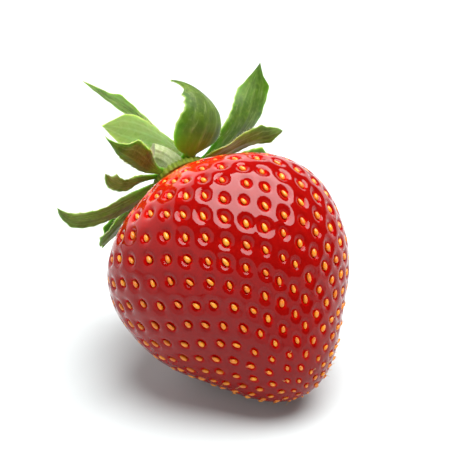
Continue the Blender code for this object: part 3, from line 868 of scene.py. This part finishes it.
def disc_green():
    """Yellow-green with darker fibres that run outwards, browner where it meets the berry."""
    finish = new_finish("disc_green")
    turn, top = finish.attribute("turn"), finish.attribute("top")
    fibre = finish.noise(0.5, 4.0, 0.65)
    blotch = finish.noise(2.4, 2.0)
    rays = (turn * DISC_RIBS + fibre * 3.0).cosine() * 0.5 + 0.5
    colour = finish.paint(
        finish.blend(rays * 0.5 + fibre.step(0.3, 0.7) * 0.4, DISC_DARK, DISC_LIGHT),
        (blotch.step(0.45, 0.75) * 0.4, DISC_PATCH),
        ((1.0 - top.step(0.0, 0.35)) * 0.4, DISC_SEAM))
    return finish.skin(
        {"IOR": 1.4, "Specular IOR Level": 0.35},
        {"Base Color": colour, "Roughness": 0.55 + fibre * 0.1, "Normal": finish.bump(fibre, 0.10)},
        depth=(0.1, (0.4, 1.0, 0.15), 0.5))


build_disc(disc_green())

# %% The stem
STEM_RADIUS = 1.85
STEM_LENGTH = 5.2
STEM_LEAN = 66.0  # how far the stem bends over by its cut end
STEM_FOOT_SWELL = 0.28  # the stem is this much thicker where it leaves the disc
STEM_END_SWELL = 0.08  # and this much at its cut end
STEM_ROWS = 50
STEM_STEPS = 96
STEM_RIBS = 9
STEM_RIB_RELIEF = (0.035, 0.015)  # large and small ribs, as shares of the radius
STEM_SINK = 0.6  # how far its foot runs on into the disc
# The cut end, from its rounded edge to its hollow middle: shares of the radius, and rise.
CUT_SHARES = (0.97, 0.90, 0.80, 0.65, 0.50, 0.35, 0.20, 0.10)
CUT_RISES = (0.06, 0.05, -0.02, -0.12, -0.20, -0.24, -0.25, -0.25)


def build_stem(material):
    """Round sections along an arc that leans over, then rings that close its cut end."""
    share = np.linspace(0.0, 1.0, STEM_ROWS)
    lean = np.radians(STEM_LEAN * share)
    middle = (lean[1:] + lean[:-1]) / 2.0
    steps = np.stack((np.sin(middle), np.cos(middle)), -1) * STEM_LENGTH / (STEM_ROWS - 1)
    arc = running_sum(steps)
    foot = CALYX + AXES[2] * (DISC_THICKNESS + GAP)
    line = foot + arc[:, :1] * AXES[0] + arc[:, 1:] * AXES[2]
    line[0] -= AXES[2] * (STEM_SINK + GAP)
    out = np.cos(lean)[:, None] * AXES[0] - np.sin(lean)[:, None] * AXES[2]
    tangent = np.sin(lean[-1]) * AXES[0] + np.cos(lean[-1]) * AXES[2]
    swell = 1.0 + STEM_FOOT_SWELL * np.exp(-5.0 * share) + STEM_END_SWELL * share ** 4
    turn = full_turn(STEM_STEPS)
    coarse, fine = STEM_RIB_RELIEF
    ribs = 1.0 + coarse * np.cos(STEM_RIBS * turn) + fine * np.cos(2 * STEM_RIBS * turn + 1.0)
    spokes = out[:, None] * np.cos(turn)[:, None] + AXES[1] * np.sin(turn)[:, None]
    radius = STEM_RADIUS * swell[:, None] * ribs
    side = line[:, None] + spokes * radius[..., None]
    shrink, rise = np.array(CUT_SHARES)[:, None], np.array(CUT_RISES)
    cut = line[-1] + spokes[-1] * (radius[-1] * shrink)[..., None] + tangent * rise[:, None, None]
    rings = np.concatenate((side, cut))
    end = np.repeat(np.concatenate((np.zeros(STEM_ROWS), 1.0 - shrink[:, 0])), STEM_STEPS)
    height = np.repeat(np.concatenate((share, np.ones(len(rise)))), STEM_STEPS)
    values = {"end": with_poles(0.0, end, 1.0), "along": with_poles(0.0, height, 1.0)}
    add_piece("stem_stub", closed_points(line[0], rings, line[-1] + tangent * rise[-1]),
              ring_faces(len(rings), STEM_STEPS, clockwise=True), values, material, ["stem"])
    return side, spokes


STEM_GREEN = (0.34, 0.41, 0.17)
STEM_WHITE = (0.47, 0.52, 0.28)
STEM_FOOT = (0.16, 0.22, 0.03)
CUT_BROWN = (0.34, 0.27, 0.13)


def stem_pale():
    """Pale green-white, greener at the foot, with a fibrous, slightly browned cut end."""
    finish = new_finish("stem_pale")
    end, along = finish.attribute("end"), finish.attribute("along")
    fibre = finish.noise(0.6, 3.0)
    colour = finish.paint(
        finish.blend(fibre.step(0.35, 0.7), STEM_GREEN, STEM_WHITE),
        ((1.0 - along.step(0.0, 0.6)) * 0.6, STEM_FOOT),
        (end.step(0.02, 0.3) * 0.75, CUT_BROWN))
    return finish.skin(
        {"IOR": 1.4},
        {"Base Color": colour, "Roughness": 0.40 + fibre * 0.15, "Normal": finish.bump(fibre, 0.06)},
        depth=(0.2, (0.6, 1.0, 0.3), 0.8))


stem_side, stem_spokes = build_stem(stem_pale())

# %% [markdown]
# ## Hairs and threads
# Sepals and stem are downy, and near the tip the seeds still carry the dry
# threads that once caught pollen. Both are the same small form, a bent cone with
# three sides, repeated by a rule. One helper turns roots, ways and bends into
# all the cones of a piece at once, with no loop over them.

# %% Cones along given ways
HAIR_SIDES = 3
OFF_AXIS = (0.31, 0.52, 0.80)  # a direction that no hair takes
BEND_AT = 0.55  # share of its length at which a cone bends
BEND_WIDTH = 0.7  # its thickness there, as a share


def lengths(rows):
    """The length of each row, as a column."""
    return np.linalg.norm(rows, axis=1, keepdims=True)


def add_cones(name, roots, ways, bends, radius, material):
    """A thin bent cone at every root: two rings between two poles.

    ways hold each cone's direction times its length. bends push its middle
    aside, so that it curves.
    """
    first = np.cross(ways, OFF_AXIS)
    first /= lengths(first)
    second = np.cross(ways, first)
    second /= lengths(second)
    step = full_turn(HAIR_SIDES)
    spoke = first[:, None] * np.cos(step)[:, None] + second[:, None] * np.sin(step)[:, None]
    low = roots[:, None] + spoke * radius
    high = (roots + ways * BEND_AT + bends)[:, None] + spoke * radius * BEND_WIDTH
    points = np.concatenate((roots[:, None], low, high, (roots + ways)[:, None]), 1)
    faces = repeat_faces(ring_faces(2, HAIR_SIDES, clockwise=True), points.shape[1], len(roots))
    tip = np.tile(with_poles(0.0, np.repeat((0.0, 1.0), HAIR_SIDES), 1.0), len(roots))
    add_piece(name, points.reshape(-1, 3), faces, {"tip": tip}, material, [])


# %% Down on the calyx and the stem
HAIRS_PER_RIM = 110
STEM_HAIRS = 160
HAIR_RADIUS = 0.022
HAIR_LENGTHS = (0.2, 0.6)
HAIR_SPAN = (0.08, 0.97)  # shares of a blade's length
HAIR_SINK = 0.05  # how deep a root lies in the rim
HAIR_LEAN = (0.2, 1.0)  # towards the blade's tip
RIM_SCATTER = 0.35  # random spread of their ways
STEM_SCATTER = 0.3
HAIR_BEND = 0.06
DOWN_RANDOM = 19


def add_down(material):
    """Hairs along every blade's two edges, leaning to its tip, and all over the stem."""
    draw = np.random.default_rng(DOWN_RANDOM)
    roots, ways = [], []
    for points, outwards, forwards in blade_rims:
        place = draw.uniform(*HAIR_SPAN, HAIRS_PER_RIM) * (len(points) - 1)
        row = place.astype(int)
        share = (place - row)[:, None]
        roots.append(points[row] * (1.0 - share) + points[row + 1] * share - outwards[row] * HAIR_SINK)
        lean = draw.uniform(*HAIR_LEAN, (HAIRS_PER_RIM, 1))
        ways.append(outwards[row] + forwards[row] * lean + draw.normal(0.0, RIM_SCATTER, (HAIRS_PER_RIM, 3)))
    row = draw.integers(4, STEM_ROWS - 2, STEM_HAIRS)
    column = draw.integers(0, STEM_STEPS, STEM_HAIRS)
    roots.append(stem_side[row, column])
    ways.append(stem_spokes[row, column] + draw.normal(0.0, STEM_SCATTER, (STEM_HAIRS, 3)))
    roots, ways = np.concatenate(roots), np.concatenate(ways)
    ways *= draw.uniform(*HAIR_LENGTHS, (len(ways), 1)) / lengths(ways)
    bends = draw.normal(0.0, HAIR_BEND, ways.shape)
    add_cones("calyx_down", roots, ways, bends, HAIR_RADIUS, material)


def hair_pale(name, root, end):
    """A plain blend from a hair's root to its tip."""
    finish = new_finish(name)
    tip = finish.attribute("tip")
    return finish.skin({"IOR": 1.45},
                       {"Base Color": finish.blend(tip, root, end), "Roughness": 0.45 + tip * 0.1},
                       depth=(0.2, (0.5, 1.0, 0.3), 0.3))


add_down(hair_pale("down_pale", (0.36, 0.44, 0.16), (0.66, 0.68, 0.44)))

# %% Dry threads by the tip
THREADS_FROM = 150.0  # angle from the calyx beyond which seeds keep their thread
THREAD_RADIUS = 0.045
THREAD_LENGTHS = (0.5, 1.2)
THREAD_SHARE = 0.5
THREAD_ROOT = (0.35, 0.1)  # back along the seed, and into the skin
THREAD_LIFT = (0.2, 0.6)  # how steeply it leaves the skin
THREAD_SCATTER = 0.5
THREAD_BEND = (0.15, 0.05)  # away from the skin, and at random
THREAD_LOWEST = 0.5  # threads that would end lower are left out
THREAD_RANDOM = 5


def add_threads(material):
    """A thread from the outer end of about half of the seeds by the tip, lying along the skin."""
    draw = np.random.default_rng(THREAD_RANDOM)
    chosen = draw.uniform(0.0, 1.0, len(SEED_ANGLE)) < THREAD_SHARE
    kept = np.flatnonzero((np.degrees(SEED_ANGLE) > THREADS_FROM) & chosen)
    centre, along, round_ = (rows[kept] @ AXES for rows in seed_frames())
    surface = CENTRE + centre * skin_radius(SEED_ANGLE, SEED_AROUND)[kept, None]
    roots = surface - along * THREAD_ROOT[0] - centre * THREAD_ROOT[1]
    side = draw.normal(0.0, THREAD_SCATTER, (len(kept), 1))
    ways = centre * draw.uniform(*THREAD_LIFT, (len(kept), 1)) - along + round_ * side
    ways *= draw.uniform(*THREAD_LENGTHS, (len(kept), 1)) / lengths(ways)
    above = roots[:, 2] + ways[:, 2] > THREAD_LOWEST
    bends = centre * THREAD_BEND[0] + draw.normal(0.0, THREAD_BEND[1], ways.shape)
    add_cones("tip_threads", roots[above], ways[above], bends[above], THREAD_RADIUS, material)


add_threads(hair_pale("thread_tan", (0.45, 0.16, 0.03), (0.62, 0.36, 0.10)))

# %% [markdown]
# ## Studio: floor, lights and camera
# The berry lies on a seamless pale table. A large soft box hangs level over it,
# a little behind and to the right. The room is pale up to a slanting line, higher
# on the left, and dark above. It is brighter behind the berry, and the table
# glows very faintly. A glossy skin shows all this: the soft box on the shoulder,
# then a deep red band, then the veil of the table and the pale room.

# %% Floor
TABLE_HALF = 1.5  # metres
TABLE_COLOUR = (0.54, 0.57, 0.57, 1.0)
TABLE_GLOW = 0.03

mesh = bpy.data.meshes.new("table_top")
corners = [(x * TABLE_HALF, y * TABLE_HALF, 0.0) for x, y in ((-1, -1), (1, -1), (1, 1), (-1, 1))]
mesh.from_pydata(corners, [], [(0, 1, 2, 3)])
constants = {"Base Color": TABLE_COLOUR, "Roughness": 0.7, "Specular IOR Level": 0.2,
             "Emission Color": (1.0, 1.0, 1.0, 1.0), "Emission Strength": TABLE_GLOW}
mesh.materials.append(new_finish("table_white").skin(constants, {}))
table_top = add_object("table_top", mesh)
print("table, metres across:", 2 * TABLE_HALF)

# %% Soft box
BOX_HEIGHT = 0.5  # metres, as are the next two
BOX_WIDTH = 0.63
BOX_PLACE = (0.135, 0.03)  # its middle, to the right and a little behind
BOX_WATTS = 8.2

light = bpy.data.lights.new("soft_box", "AREA")
light.shape, light.size, light.energy = "DISK", BOX_WIDTH, BOX_WATTS
lamp = add_object("soft_box", light)
lamp.location = (*BOX_PLACE, BOX_HEIGHT)
print("soft box at, in metres:", tuple(round(value, 3) for value in lamp.location))

# %% Room
ROOM_PALE = (0.93, 0.93, 0.94)
ROOM_BEHIND = (1.6, 1.6, 1.6)
ROOM_DARK = (0.03, 0.03, 0.035)
ROOM_LINE = (0.46, 0.50)  # heights between which pale turns dark
ROOM_SLANT = 0.4

world = bpy.data.worlds.new("studio_room")
bpy.context.scene.world = world
room = Finish(world)
way = room.node("TexCoord", output=0)
right, back, height = (room.node("SeparateXYZ", None, {0: way}, output=part) for part in range(3))
pale = room.blend(back.step(0.2, 0.9), ROOM_PALE, ROOM_BEHIND)
colour = room.blend((height + right * ROOM_SLANT).step(*ROOM_LINE), pale, ROOM_DARK)
room.node("OutputWorld", None, {"Surface": room.node("Background", None, {"Color": colour, "Strength": 1.0})})
print("world nodes:", len(room.tree.nodes))

# %% Camera
ELEVATION = 25.0  # of the camera above the table
DISTANCE = 240.0  # from the berry's centre
VIEW_WIDTH = 77.112  # millimetres across the view at the berry's centre
VIEW_SHIFT = (-0.001, 0.073)  # of the berry from the view's middle, as a share of the view
SENSOR = 36.0

# A long lens, level from side to side, looks along +Y and down on the berry.
camera = add_object("camera", bpy.data.cameras.new("camera"))
tilt = math.radians(ELEVATION)
backwards = np.array((0.0, -math.cos(tilt), math.sin(tilt)))
camera.location = (CENTRE + backwards * DISTANCE) * METRES
camera.rotation_euler = (math.pi / 2 - tilt, 0.0, 0.0)
camera.data.sensor_width = SENSOR
camera.data.lens = SENSOR * DISTANCE / VIEW_WIDTH
camera.data.shift_x, camera.data.shift_y = VIEW_SHIFT
camera.data.clip_start = 0.01
bpy.context.scene.camera = camera
bpy.context.scene.view_settings.view_transform = "Standard"
print("lens in mm:", round(camera.data.lens, 1))
